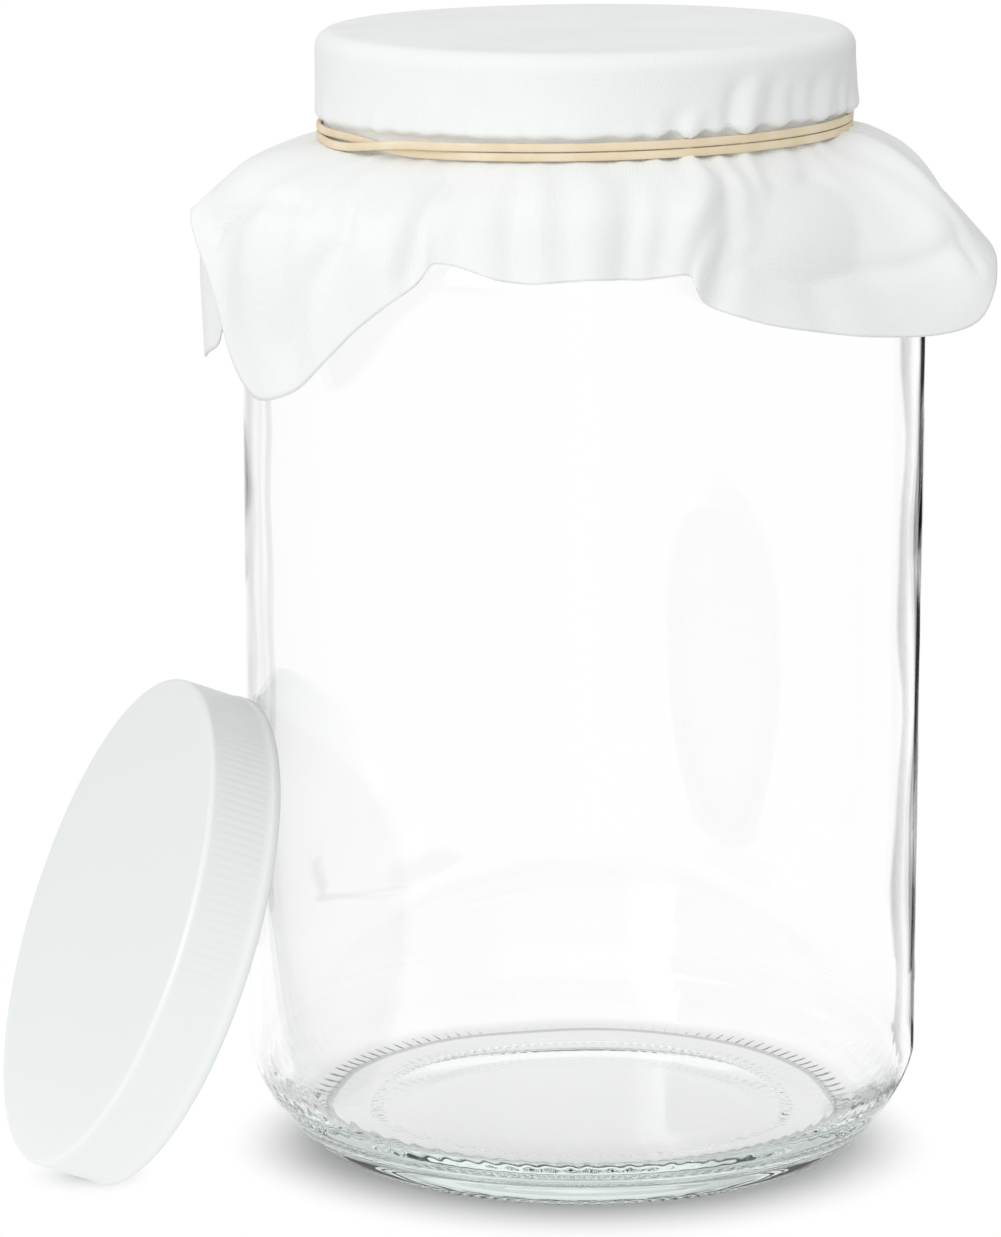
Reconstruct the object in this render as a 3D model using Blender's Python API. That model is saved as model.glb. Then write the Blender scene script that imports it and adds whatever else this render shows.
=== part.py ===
"""Kombucha brewing jar: a one-gallon glass jar under a banded cotton cover, its screw cap beside it.

Five pieces, each one closed solid: glass_jar, cloth_cover, rubber_band, screw_cap and cap_liner.
Metres, +Z up. The jar is modelled about its own axis with its base on Z = 0, and the whole set is
then moved so that the origin lies on the floor under the middle of its outline.
"""
import math
from collections import namedtuple

import bmesh
import bpy
import numpy as np
from mathutils import Matrix, Vector

# Gap kept between pieces that rest on or sit in each other
SEAT_GAP = 0.0003

# Glass body
JAR_HEIGHT = 0.252
JAR_RADIUS = 0.0762
WALL = 0.0028
HEEL_HEIGHT = 0.0225
HEEL_SQUARENESS = 1.54
HEEL_STEPS = 8
HEEL_STEPS_CROWD = 1.7
SHOULDER_HEIGHT = 0.0225
FINISH_HEIGHT = 0.0265
BEARING_OUTER = 0.058
BEARING_WIDTH = 0.0045
PUSH_UP = 0.0022
PUSH_UP_SLOPE = 0.006
BASE_GLASS = 0.0062
BASE_DISH = 0.0004

# Glass finish: the mouth, its thread, the transfer bead and the neck under it
THREAD_RADIUS = 0.0544
THREAD_DEPTH = 0.0015
THREAD_PITCH = 0.00508
THREAD_FOOT = 0.0031
THREAD_CROWN = 0.00105
THREAD_ROOT_IN_WALL = 0.0006
THREAD_TURNS = 1.7
THREAD_START = 0.0034
THREAD_END_AZIMUTH = -48.0
MOUTH_RADIUS = 0.0497
LIP_ROUND = 0.0009
BEAD_PROUD = 0.0019
BEAD_DROP = 0.0162
BEAD_HEIGHT = 0.0032
NECK_PROUD = 0.0005
NECK_FILLET = 0.0026

# Cap and liner
CAP_HEIGHT = 0.0165
CAP_WALL = 0.00105
CAP_TOP = 0.0015
CAP_EDGE_ROUND = 0.0013
CAP_CORNER_FILL = 0.0006
CUTTER_REACH = 0.002
CAP_THREAD_CLEARANCE = 0.00035
CAP_THREAD_START = 0.0027
CAP_THREAD_TURNS = 1.25
RIB_COUNT = 180
RIB_DEPTH = 0.00025
RIM_BEAD_HEIGHT = 0.0019
RIM_BEAD_PROUD = 0.0003
RIM_BEAD_SLOPE = 0.0004
LINER_THICKNESS = 0.001
CAP_TILT = 21.2
CAP_AZIMUTH = -71.9

# Cotton square
CLOTH_SIDE = 0.222
CLOTH_THICKNESS = 0.0007
CLOTH_TOP_ROUND = 0.0042
CLOTH_SLACK = 0.0039
CLOTH_WAIST_CLEARANCE = 0.0004
CLOTH_PACK = 0.0007
SKIRT_REST = 0.0020
HEM_ROUND = 0.005
FOLD_COUNT = 15
SIDE_FOLD = 0.0011
HEM_FOLD = 0.0028
CORNER_FOLD = 0.0042
CLOTH_COLUMNS = 60

# How the gathers settle: turns of the cloth from its front left corner, and their azimuths on the jar
GATHERS = (
    (0, -52), (33, -26), (62, 16), (90, 62), (125, 90), (152, 112),
    (180, 140), (225, 190), (270, 241), (315, 268), (333, 288),
)

# The four corners: slope and length of the run over the shoulder, slope and length of the fall after
# it, and the slope at which the tip is tucked in. Slopes are degrees below level.
Corner = namedtuple("Corner", "slope run drop fall tuck")
CORNERS = (
    Corner(25, 0.038, 99, 0.100, 99),
    Corner(37, 0.046, 90, 0.009, 165),
    Corner(33, 0.034, 92, 0.100, 92),
    Corner(29, 0.034, 93, 0.026, 165),
)
SIDE_SLOPE_START = 16.0
SIDE_SLOPE_END = 74.0
DROP_BEND = 0.007
CORNER_SPREAD = 0.15
FOLD_OPENS = 0.022
FOLD_WANDER = 0.5
PATH_STEPS = 160

# Rubber band, one loop wound twice
BAND_DROP = 0.0207
BAND_TILT_SIDE = 0.00165
BAND_TILT_FRONT = -0.0004
STRAND_HEIGHT = 0.0016
STRAND_THICKNESS = 0.0011
STRAND_PITCH = 0.0021
STRAND_ROUND = 0.0004
BAND_CROSSING = -36.0
CROSSING_TURN = 13.0
CROSSING_RISE = 0.0016
RISE_FULL_TURN = 12.0
RISE_START_TURN = 31.0
BAND_STEPS = 96

TURN = 2 * math.pi
JAR_SEGMENTS = 64

# Sizes that follow from the ones above
THREAD_ROOT = THREAD_RADIUS - THREAD_DEPTH
BEAD_RADIUS = THREAD_ROOT + BEAD_PROUD
NECK_RADIUS = THREAD_ROOT + NECK_PROUD
SHOULDER_START = NECK_RADIUS + NECK_FILLET
SHOULDER_TOP = JAR_HEIGHT - FINISH_HEIGHT
SHOULDER_BASE = SHOULDER_TOP - SHOULDER_HEIGHT
BEARING_INNER = BEARING_OUTER - BEARING_WIDTH
CAP_INNER = THREAD_RADIUS + CAP_THREAD_CLEARANCE
CAP_RADIUS = CAP_INNER + CAP_WALL + RIB_DEPTH
CLOTH_TOP_RADIUS = THREAD_RADIUS + CLOTH_SLACK
CLOTH_WAIST_RADIUS = BEAD_RADIUS + CLOTH_WAIST_CLEARANCE
BAND_HEIGHT = JAR_HEIGHT - BAND_DROP
BAND_HALF = (STRAND_PITCH + STRAND_HEIGHT) / 2 + SEAT_GAP


def on_circle(azimuth, radius, height):
    """A point at an azimuth in degrees, counted from the front (-Y) towards the right (+X)."""
    angle = math.radians(azimuth - 90)
    return Vector((radius * math.cos(angle), radius * math.sin(angle), height))


def smooth(edge0, edge1, value):
    """Rises from 0 to 1 between two edges, level at both."""
    share = np.clip((value - edge0) / (edge1 - edge0), 0, 1)
    return share * share * (3 - 2 * share)


def arc(centre, radii, start, end, steps):
    """Points (radius, height) on an elliptical arc, angles in degrees."""
    points = []
    for step in range(steps + 1):
        angle = math.radians(start + (end - start) * step / steps)
        points.append((centre[0] + radii[0] * math.cos(angle), centre[1] + radii[1] * math.sin(angle)))
    return points


def finish_material(name, colour, roughness, transmission=0.0):
    """One Principled material."""
    material = bpy.data.materials.new(name)
    material.use_nodes = True
    shader = material.node_tree.nodes["Principled BSDF"]
    shader.inputs["Base Color"].default_value = (*colour, 1)
    shader.inputs["Roughness"].default_value = roughness
    shader.inputs["Metallic"].default_value = 0
    shader.inputs["Transmission Weight"].default_value = transmission
    return material


def make_object(name, mesh, material, crease=35.0):
    """Puts a mesh into the scene, its faces smooth apart from the creases."""
    mesh.shade_smooth()
    mesh.set_sharp_from_angle(angle=math.radians(crease))
    mesh.materials.append(material)
    piece = bpy.data.objects.new(name, mesh)
    bpy.context.scene.collection.objects.link(piece)
    return piece


def mesh_from(name, points, faces):
    """A mesh from points and faces, its faces turned outwards."""
    shape = bmesh.new()
    corners = [shape.verts.new(point) for point in points]
    for face in faces:
        shape.faces.new([corners[index] for index in face])
    bmesh.ops.recalc_face_normals(shape, faces=shape.faces)
    mesh = bpy.data.meshes.new(name)
    shape.to_mesh(mesh)
    shape.free()
    return mesh


def strip_faces(first, second, count):
    """Four-sided faces between two closed rings of points."""
    faces = []
    for index in range(count):
        after = (index + 1) % count
        faces.append((first + index, first + after, second + after, second + index))
    return faces


def turned(name, profile, segments):
    """A solid turned about Z from an open profile whose two ends lie on the axis or beside it."""
    points = []
    faces = []
    for radius, height in profile:
        for index in range(segments):
            angle = TURN * index / segments
            points.append((radius * math.cos(angle), radius * math.sin(angle), height))
    for row in range(len(profile) - 1):
        faces += strip_faces(row * segments, (row + 1) * segments, segments)
    last = (len(profile) - 1) * segments
    faces.append(tuple(range(segments)))
    faces.append(tuple(range(last, last + segments)))
    return mesh_from(name, points, faces)


def swept(name, rings):
    """A closed solid through rings of equally many points, capped at both ends."""
    count = len(rings[0])
    points = [point for ring in rings for point in ring]
    faces = []
    for row in range(len(rings) - 1):
        faces += strip_faces(row * count, (row + 1) * count, count)
    last = (len(rings) - 1) * count
    faces.append(tuple(range(count)))
    faces.append(tuple(range(last, last + count)))
    return mesh_from(name, points, faces)


def combine(piece, tool_mesh, operation):
    """Joins or cuts a piece with a tool by a Boolean, and removes the tool."""
    tool = bpy.data.objects.new(tool_mesh.name, tool_mesh)
    bpy.context.scene.collection.objects.link(tool)
    modifier = piece.modifiers.new(tool_mesh.name, "BOOLEAN")
    modifier.operation = operation
    modifier.object = tool
    depsgraph = bpy.context.evaluated_depsgraph_get()
    result = bpy.data.meshes.new_from_object(piece.evaluated_get(depsgraph))
    piece.modifiers.clear()
    piece.data = result
    bpy.data.objects.remove(tool)


def thread_ridge(name, crest, sunk, top, turns, low_angle):
    """A right-hand thread ridge, from the radius sunk inside the wall to the radius crest.

    It starts at low_angle, climbs counter-clockwise to the height top, and runs out at both ends.
    """
    steps = round(turns * JAR_SEGMENTS)
    first = round(low_angle / 360 * JAR_SEGMENTS)
    run_out = 4
    foot = THREAD_FOOT / 2
    crown = THREAD_CROWN / 2
    rings = []
    for step in range(steps + 1):
        angle = TURN * (first + step) / JAR_SEGMENTS
        height = top - THREAD_PITCH * (steps - step) / JAR_SEGMENTS
        grown = min(1.0, (min(step, steps - step) + 0.5) / run_out)
        reach = sunk + (crest - sunk) * grown
        section = ((sunk, -foot), (reach, -crown), (reach, crown), (sunk, foot))
        ring = []
        for radius, offset in section:
            ring.append((radius * math.cos(angle), radius * math.sin(angle), height + offset))
        rings.append(ring)
    return swept(name, rings)


def heel_radius(height):
    """Outer radius of the glass between the bearing ring and the straight wall."""
    share = 1 - min(height / HEEL_HEIGHT, 1)
    reach = (1 - share ** HEEL_SQUARENESS) ** (1 / HEEL_SQUARENESS)
    return BEARING_OUTER + (JAR_RADIUS - BEARING_OUTER) * reach


def outside_radius(height):
    """Outer radius of the glass at heights from the straight wall up to the mouth."""
    height = np.asarray(height, dtype=float)
    share = np.clip((height - SHOULDER_BASE) / SHOULDER_HEIGHT, 0, 1)
    shoulder = SHOULDER_START + (JAR_RADIUS - SHOULDER_START) * np.sqrt(1 - share * share)
    return np.where(height > SHOULDER_TOP, BEAD_RADIUS, shoulder)


def jar_profile():
    """The glass in section, from the middle of the push-up round the outside to the middle inside."""
    profile = arc((BEARING_INNER - PUSH_UP_SLOPE, 0), (PUSH_UP_SLOPE, PUSH_UP), 90, 0, 2)
    profile.append((BEARING_OUTER, 0))
    for step in range(1, HEEL_STEPS + 1):
        height = HEEL_HEIGHT * (step / HEEL_STEPS) ** HEEL_STEPS_CROWD
        profile.append((heel_radius(height), height))
    profile += arc(
        (SHOULDER_START, SHOULDER_BASE), (JAR_RADIUS - SHOULDER_START, SHOULDER_HEIGHT), 0, 90, 8)
    profile += arc((SHOULDER_START, SHOULDER_TOP + NECK_FILLET), (NECK_FILLET, NECK_FILLET), 270, 180, 3)[1:]
    bead_z = JAR_HEIGHT - BEAD_DROP
    profile += [
        (NECK_RADIUS, bead_z - BEAD_HEIGHT / 2),
        (BEAD_RADIUS, bead_z - BEAD_HEIGHT / 4),
        (BEAD_RADIUS, bead_z + BEAD_HEIGHT / 4),
        (THREAD_ROOT, bead_z + BEAD_HEIGHT / 2),
    ]
    profile += arc((THREAD_ROOT - LIP_ROUND, JAR_HEIGHT - LIP_ROUND), (LIP_ROUND, LIP_ROUND), 0, 90, 2)
    profile += arc((MOUTH_RADIUS + LIP_ROUND, JAR_HEIGHT - LIP_ROUND), (LIP_ROUND, LIP_ROUND), 90, 180, 2)
    inner_start = MOUTH_RADIUS + NECK_FILLET
    profile.append((MOUTH_RADIUS, SHOULDER_TOP + NECK_FILLET))
    profile += arc(
        (inner_start, SHOULDER_BASE), (JAR_RADIUS - WALL - inner_start, SHOULDER_HEIGHT - WALL), 90, 0, 6)
    floor = PUSH_UP + BASE_GLASS
    inner_heel = HEEL_HEIGHT - floor
    reach = JAR_RADIUS - WALL - BEARING_OUTER
    profile += arc((BEARING_OUTER, HEEL_HEIGHT), (reach, inner_heel), 0, -90, 5)
    profile.append((BEARING_INNER - PUSH_UP_SLOPE, floor + BASE_DISH))
    return profile


def make_jar():
    """The glass: a turned body with its thread joined on."""
    glass = finish_material("clear_glass", (0.95, 0.98, 0.97), 0.02, 1.0)
    jar = make_object("glass_jar", turned("glass_jar", jar_profile(), JAR_SEGMENTS), glass)
    top = JAR_HEIGHT - THREAD_START
    ridge = thread_ridge(
        "jar_thread", THREAD_RADIUS, THREAD_ROOT - THREAD_ROOT_IN_WALL, top, THREAD_TURNS,
        THREAD_END_AZIMUTH - 90)
    combine(jar, ridge, "UNION")
    return jar


def cap_outside():
    """The cap's outside, open rim on Z = 0: rim bead, ribbed skirt and rounded edge."""
    smooth_radius = CAP_RADIUS - RIB_DEPTH
    bead = CAP_RADIUS + RIM_BEAD_PROUD
    rib_end = CAP_HEIGHT - CAP_EDGE_ROUND
    rows = [
        (bead, bead, 0),
        (bead, bead, RIM_BEAD_HEIGHT),
        (CAP_RADIUS, smooth_radius, RIM_BEAD_HEIGHT + RIM_BEAD_SLOPE),
        (CAP_RADIUS, smooth_radius, rib_end),
        (CAP_RADIUS - CAP_EDGE_ROUND, CAP_RADIUS - CAP_EDGE_ROUND, CAP_HEIGHT),
    ]
    count = 2 * RIB_COUNT
    rings = []
    for crest, valley, height in rows:
        ring = []
        for index in range(count):
            angle = TURN * index / count
            radius = valley if index % 2 else crest
            ring.append((radius * math.cos(angle), radius * math.sin(angle), height))
        rings.append(ring)
    return swept("screw_cap", rings)


def make_cap(assembly):
    """The cap with its inside thread, and its liner, leaning on the glass."""
    plastic = finish_material("white_plastic", (0.86, 0.88, 0.87), 0.42)
    cap = make_object("screw_cap", cap_outside(), plastic, 30.0)
    ceiling = CAP_HEIGHT - CAP_TOP
    hollow = turned(
        "cap_hollow",
        [(CAP_INNER, -CUTTER_REACH), (CAP_INNER, ceiling - CAP_CORNER_FILL),
         (CAP_INNER - CAP_CORNER_FILL, ceiling)],
        JAR_SEGMENTS)
    hollow_piece = make_object("cap_hollow", hollow, plastic)
    ridge = thread_ridge(
        "cap_thread", THREAD_ROOT + CAP_THREAD_CLEARANCE, CAP_INNER + THREAD_ROOT_IN_WALL,
        ceiling - LINER_THICKNESS - CAP_THREAD_START, CAP_THREAD_TURNS, 0)
    combine(hollow_piece, ridge, "DIFFERENCE")
    combine(cap, hollow_piece.data.copy(), "DIFFERENCE")
    bpy.data.objects.remove(hollow_piece)

    foam = finish_material("liner_foam", (0.90, 0.90, 0.88), 0.60)
    liner_top = ceiling - SEAT_GAP
    liner_radius = CAP_INNER - CAP_CORNER_FILL - SEAT_GAP
    disc = turned(
        "cap_liner",
        [(liner_radius, liner_top - LINER_THICKNESS), (liner_radius, liner_top)],
        JAR_SEGMENTS)
    liner = make_object("cap_liner", disc, foam)

    # The lowest point of the open rim stands on the floor, and the rim's highest point meets the wall
    rim = CAP_RADIUS + RIM_BEAD_PROUD
    tilt = math.radians(CAP_TILT)
    stand_off = JAR_RADIUS + SEAT_GAP + 2 * rim * math.sin(tilt)
    stand = bpy.data.objects.new("cap_stand", None)
    bpy.context.scene.collection.objects.link(stand)
    stand.parent = assembly
    stand.location = on_circle(CAP_AZIMUTH, stand_off, 0)
    # In the stand's frame the cap's axis points up and outwards, away from the jar
    lean = Matrix.Rotation(math.radians(CAP_AZIMUTH - 90), 4, "Z") @ Matrix.Rotation(math.pi / 2 - tilt, 4, "Y")
    stand.rotation_euler = lean.to_euler()
    for piece in (cap, liner):
        piece.parent = stand
        piece.location = (-rim, 0, 0)
    return cap, liner


def band_centre(azimuth):
    """Height of the band's middle line at an azimuth in degrees."""
    turn = np.radians(azimuth)
    return BAND_HEIGHT + BAND_TILT_SIDE * np.sin(turn) - BAND_TILT_FRONT * np.cos(turn)


def cloth_column(turn):
    """One column of the cloth, at a turn in degrees from its front left corner: its azimuth on the jar,
    its reach from the middle to the hem, how near it is to a corner (0 to 1), and the nearest corner."""
    half = CLOTH_SIDE / 2
    turns = [gather[0] for gather in GATHERS] + [360]
    azimuths = [gather[1] for gather in GATHERS] + [360 + GATHERS[0][1]]
    azimuth = float(np.interp(turn, turns, azimuths))
    reach = half / math.cos(math.radians(45 - turn % 90))
    corner = (reach - half) / (half * math.sqrt(2) - half)
    nearest = CORNERS[round(turn / 90) % len(CORNERS)]
    return azimuth, min(reach, half * math.sqrt(2) - HEM_ROUND), corner, nearest


def cloth_stations(azimuth):
    """Path lengths from the middle of the cloth: edge of the flat top, end of its rounding, and the
    upper and lower edges of the band."""
    flat = CLOTH_TOP_RADIUS - CLOTH_TOP_ROUND
    rounded = flat + CLOTH_TOP_ROUND * math.pi / 2
    band = rounded + JAR_HEIGHT + SEAT_GAP - CLOTH_TOP_ROUND - float(band_centre(azimuth))
    return flat, rounded, band - BAND_HALF, band + BAND_HALF


def above_band(stations, path):
    """Radius and height of the cloth's underside between its middle and the band's lower edge."""
    flat, rounded, upper, lower = stations
    top_z = JAR_HEIGHT + SEAT_GAP
    angle = np.clip((path - flat) / CLOTH_TOP_ROUND, 0, math.pi / 2)
    radius = np.minimum(path, flat) + CLOTH_TOP_ROUND * np.sin(angle)
    height = top_z - CLOTH_TOP_ROUND * (1 - np.cos(angle)) - np.maximum(path - rounded, 0)
    drawn_in = (CLOTH_TOP_RADIUS - CLOTH_WAIST_RADIUS) * smooth(rounded, upper, path)
    return radius - drawn_in, height


def below_band(column, stations, path):
    """Radius and height of the underside from the band to the hem: the slope of its fall is summed up
    along the path, and where it would sink into the shoulder it rests on it."""
    azimuth, reach, corner, nearest = column
    lower = stations[3]
    hung = path - lower
    plain_length = CLOTH_SIDE / 2 - lower
    plain = SIDE_SLOPE_START + (SIDE_SLOPE_END - SIDE_SLOPE_START) * np.clip(hung / plain_length, 0, 1)
    fallen = nearest.run + nearest.fall
    ridge = nearest.slope + (nearest.drop - nearest.slope) * smooth(
        nearest.run - DROP_BEND, nearest.run + DROP_BEND, hung)
    ridge += (nearest.tuck - nearest.drop) * smooth(fallen - DROP_BEND, fallen + DROP_BEND, hung)
    slope = np.radians(plain + (ridge - plain) * smooth(0, CORNER_SPREAD, corner))
    step = path[1] - path[0]
    start_r, start_z = above_band(stations, np.array([lower]))
    radius = start_r[0] + np.cumsum(np.cos(slope)) * step
    height = start_z[0] - np.cumsum(np.sin(slope)) * step
    return np.maximum(radius, outside_radius(height) + SKIRT_REST), height


def fold_shift(turn, at, stations, corner):
    """How far a fold pushes the cloth out, at a turn of the cloth and a path length."""
    angle = math.radians(turn)
    wave = 0.5 + 0.5 * math.cos(FOLD_COUNT * angle + FOLD_WANDER * math.sin(3 * angle + 0.6))
    rounded, upper, lower = stations[1:]
    middle = (rounded + upper) / 2
    above = SIDE_FOLD * (smooth(rounded, middle, at) - smooth(middle, upper, at))
    below = (HEM_FOLD + (CORNER_FOLD - HEM_FOLD) * corner) * smooth(lower, lower + FOLD_OPENS, at)
    return wave * float(above + below)


def cloth_line(turn, above_rows, below_rows):
    """Points of one column of the underside, and the thickness of the cloth at each."""
    column = cloth_column(turn)
    azimuth, reach, corner, nearest = column
    stations = cloth_stations(azimuth)
    path = np.linspace(stations[3], reach, PATH_STEPS)
    fall_r, fall_z = below_band(column, stations, path)
    wanted = []
    for start, end, rows in zip(stations[:-1], stations[1:], above_rows):
        wanted += [start + (end - start) * row / rows for row in range(rows)]
    wanted.append(stations[3])
    wanted += [stations[3] + (reach - stations[3]) * row / below_rows for row in range(1, below_rows + 1)]
    line = []
    thickness = []
    for at in wanted:
        if at > stations[3]:
            radius, height = np.interp(at, path, fall_r), np.interp(at, path, fall_z)
        else:
            radius, height = above_band(stations, np.array(at))
        radius = float(radius) + fold_shift(turn, at, stations, corner)
        line.append(on_circle(azimuth, radius, float(height)))
        packed = stations[2] - 1e-6 < at < stations[3] + 1e-6
        thickness.append(CLOTH_THICKNESS + (CLOTH_PACK if packed else 0))
    return line, thickness


def make_cloth():
    """The cotton square as one closed sheet, pulled over the mouth and hanging from the band."""
    cotton = finish_material("white_cotton", (0.90, 0.91, 0.90), 0.90)
    count = CLOTH_COLUMNS
    lines = [cloth_line(360 * index / count, (1, 2, 1), 5) for index in range(count)]
    under = np.array([[tuple(point) for point in line] for line, thickness in lines])
    thickness = np.array([thickness for line, thickness in lines])
    along = np.gradient(under, axis=1)
    around = np.roll(under, -1, axis=0) - np.roll(under, 1, axis=0)
    outward = np.cross(around, along)
    outward /= -np.linalg.norm(outward, axis=2, keepdims=True)
    outward[:, 0] = (0, 0, 1)
    # Under the band the packed cloth stands straight out from the neck
    packed = thickness > CLOTH_THICKNESS
    radial = under * (1, 1, 0)
    radial /= np.linalg.norm(radial, axis=2, keepdims=True)
    outward = np.where(packed[:, :, None], radial, outward)
    over = under + outward * thickness[:, :, None]
    levels = under.shape[1]
    points = []
    for side in (under, over):
        points += [tuple(side[index, level]) for level in range(levels) for index in range(count)]
    faces = [tuple(range(count)), tuple(range(levels * count, (levels + 1) * count))]
    for level in range(levels - 1):
        faces += strip_faces(level * count, (level + 1) * count, count)
        faces += strip_faces((levels + level) * count, (levels + level + 1) * count, count)
    faces += strip_faces((levels - 1) * count, (2 * levels - 1) * count, count)
    return make_object("cloth_cover", mesh_from("cloth_cover", points, faces), cotton, 50.0)


def band_line(step):
    """Centre of the band's strand at one step of its two turns: azimuth, radius and height."""
    share = step / BAND_STEPS
    turned_by = 720 * share
    azimuth = BAND_CROSSING + turned_by
    # Degrees to the nearer crossing, one at the start of each turn
    away = (turned_by + 180) % 360 - 180
    first_pass = turned_by < 180 or turned_by >= 540
    side = smooth(-CROSSING_TURN, CROSSING_TURN, away) * 2 - 1
    offset = STRAND_PITCH / 2 * (side if first_pass else -side)
    over = 1 - smooth(RISE_FULL_TURN, RISE_START_TURN, abs(away))
    rise = CROSSING_RISE * over if first_pass else 0
    base = CLOTH_WAIST_RADIUS + CLOTH_THICKNESS + CLOTH_PACK + SEAT_GAP + STRAND_THICKNESS / 2
    return azimuth, base + rise, float(band_centre(azimuth)) + offset


def strand_section():
    """The strand's outline, its corners taken off: (outwards, upwards)."""
    half_t = STRAND_THICKNESS / 2
    half_h = STRAND_HEIGHT / 2
    cut = STRAND_ROUND
    quarter = [(half_t, half_h - cut), (half_t - cut, half_h)]
    section = list(quarter)
    section += [(-x, z) for x, z in reversed(quarter)]
    section += [(-x, -z) for x, z in quarter]
    section += [(x, -z) for x, z in reversed(quarter)]
    return section


def make_band():
    """One loop of rubber, wound twice round the neck, one unbroken tube that crosses over itself."""
    rubber = finish_material("beige_rubber", (0.80, 0.66, 0.46), 0.55)
    section = strand_section()
    points = []
    for step in range(BAND_STEPS):
        azimuth, radius, height = band_line(step)
        for out, up in section:
            points.append(on_circle(azimuth, radius + out, height + up))
    faces = []
    count = len(section)
    for step in range(BAND_STEPS):
        faces += strip_faces(step * count, (step + 1) % BAND_STEPS * count, count)
    # Least gap of the tube to itself, between rings of points that are not neighbours along it
    cloud = np.array(points).reshape(BAND_STEPS, count, 3)
    neighbours = 6
    least = 1.0
    for step in range(BAND_STEPS):
        for other in range(step + neighbours, BAND_STEPS):
            if BAND_STEPS - (other - step) < neighbours:
                continue
            apart = np.linalg.norm(cloud[step][:, None] - cloud[other][None], axis=2).min()
            least = min(least, float(apart))
    print(f"rubber_band: least gap to itself {least * 1000:.2f} mm")
    return make_object("rubber_band", mesh_from("rubber_band", points, faces), rubber, 50.0)


def build():
    """Makes every piece and stands the set over its origin."""
    for old in list(bpy.data.objects):
        bpy.data.objects.remove(old)
    assembly = bpy.data.objects.new("brewing_jar", None)
    bpy.context.scene.collection.objects.link(assembly)
    pieces = [make_jar(), make_cloth(), make_band()]
    for piece in pieces:
        piece.parent = assembly
    pieces += make_cap(assembly)
    bpy.context.view_layer.update()
    corners = [piece.matrix_world @ vertex.co for piece in pieces for vertex in piece.data.vertices]
    low = Vector([min(corner[axis] for corner in corners) for axis in range(3)])
    high = Vector([max(corner[axis] for corner in corners) for axis in range(3)])
    assembly.location = (-(low.x + high.x) / 2, -(low.y + high.y) / 2, 0)


build()
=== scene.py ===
# %% [markdown]
# # A glass brewing jar with a cotton cover
#
# A one-gallon wide-mouth jar stands on a pale floor. A square of white cotton covers its mouth, a
# rubber band wound twice holds the cotton to the neck, and the white screw cap leans on the glass.
# This lesson builds every piece as a mesh from a few real sizes and gives each a finish made of nodes.
#
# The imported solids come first. They fix where everything is, so a finer piece is made about the same
# axis and in the same place, and is never fitted afterwards.

# %% Load the frame
import math
from collections import namedtuple

import bmesh
import bpy
import numpy as np
from mathutils import Matrix, Vector


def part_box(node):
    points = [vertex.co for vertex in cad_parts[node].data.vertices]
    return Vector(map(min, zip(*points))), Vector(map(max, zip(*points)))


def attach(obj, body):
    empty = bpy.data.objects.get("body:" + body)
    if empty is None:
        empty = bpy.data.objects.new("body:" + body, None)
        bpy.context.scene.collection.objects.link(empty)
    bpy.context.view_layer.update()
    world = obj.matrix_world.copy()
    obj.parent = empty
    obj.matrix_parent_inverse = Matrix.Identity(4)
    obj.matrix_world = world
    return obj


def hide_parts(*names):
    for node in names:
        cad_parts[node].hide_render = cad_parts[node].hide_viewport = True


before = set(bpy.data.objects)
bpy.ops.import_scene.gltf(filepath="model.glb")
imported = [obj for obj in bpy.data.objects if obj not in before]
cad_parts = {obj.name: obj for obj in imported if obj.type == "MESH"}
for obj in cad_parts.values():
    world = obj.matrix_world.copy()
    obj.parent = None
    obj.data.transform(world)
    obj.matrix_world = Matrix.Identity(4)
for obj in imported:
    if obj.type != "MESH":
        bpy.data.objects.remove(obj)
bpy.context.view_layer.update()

FRAME_SIZE = (1001, 1237)
print("solids:", ", ".join(sorted(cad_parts)))

# %% Find the jar's axis
low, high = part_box("glass_jar")
AXIS_X = (low.x + high.x) / 2
AXIS_Y = (low.y + high.y) / 2
JAR_RADIUS = (high.x - low.x) / 2
JAR_HEIGHT = high.z
print(f"the jar's axis is at {AXIS_X:.4f}, {AXIS_Y:.4f}; radius {JAR_RADIUS:.4f}, height {JAR_HEIGHT:.4f}")

# %% [markdown]
# ## Small tools for meshes
#
# Everything here is round, so places are given by an azimuth in degrees, a radius and a height. The
# azimuth is counted from the front, where the camera is, towards the right. Meshes are joined from
# rings of points. Ring by ring is how a potter or a glass mould would make them, and it gives clean
# strips of four-sided faces that subdivide and shade well.

# %% Points round the jar's axis
def around(azimuth, radius, height):
    """World positions at azimuths in degrees from the front towards the right, about the jar's axis."""
    turn = np.radians(np.asarray(azimuth, float))
    x = AXIS_X + radius * np.sin(turn)
    y = AXIS_Y - radius * np.cos(turn)
    return np.stack(np.broadcast_arrays(x, y, height), axis=-1)


def smooth(start, end, value):
    """Rises from 0 to 1 between two edges, level at both."""
    share = np.clip((np.asarray(value, float) - start) / (end - start), 0, 1)
    return share * share * (3 - 2 * share)


def arc(centre, radii, start, end, steps):
    """Points (radius, height) on an elliptical arc, angles in degrees."""
    angles = np.radians(np.linspace(start, end, steps + 1))
    return [(centre[0] + radii[0] * math.cos(a), centre[1] + radii[1] * math.sin(a)) for a in angles]


# %% Meshes from rings
def ring_faces(first, second, start_first, start_second):
    """Faces between two closed rings, one of which may have a whole number of times as many points."""
    faces = []
    if first >= second:
        ratio = first // second
        for index in range(second):
            fine = [start_first + (index * ratio + step) % first for step in range(ratio + 1)]
            faces.append((*fine, start_second + (index + 1) % second, start_second + index))
    else:
        ratio = second // first
        for index in range(first):
            fine = [start_second + (index * ratio + step) % second for step in range(ratio + 1)]
            faces.append((start_first + index, start_first + (index + 1) % first, *reversed(fine)))
    return faces


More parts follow.
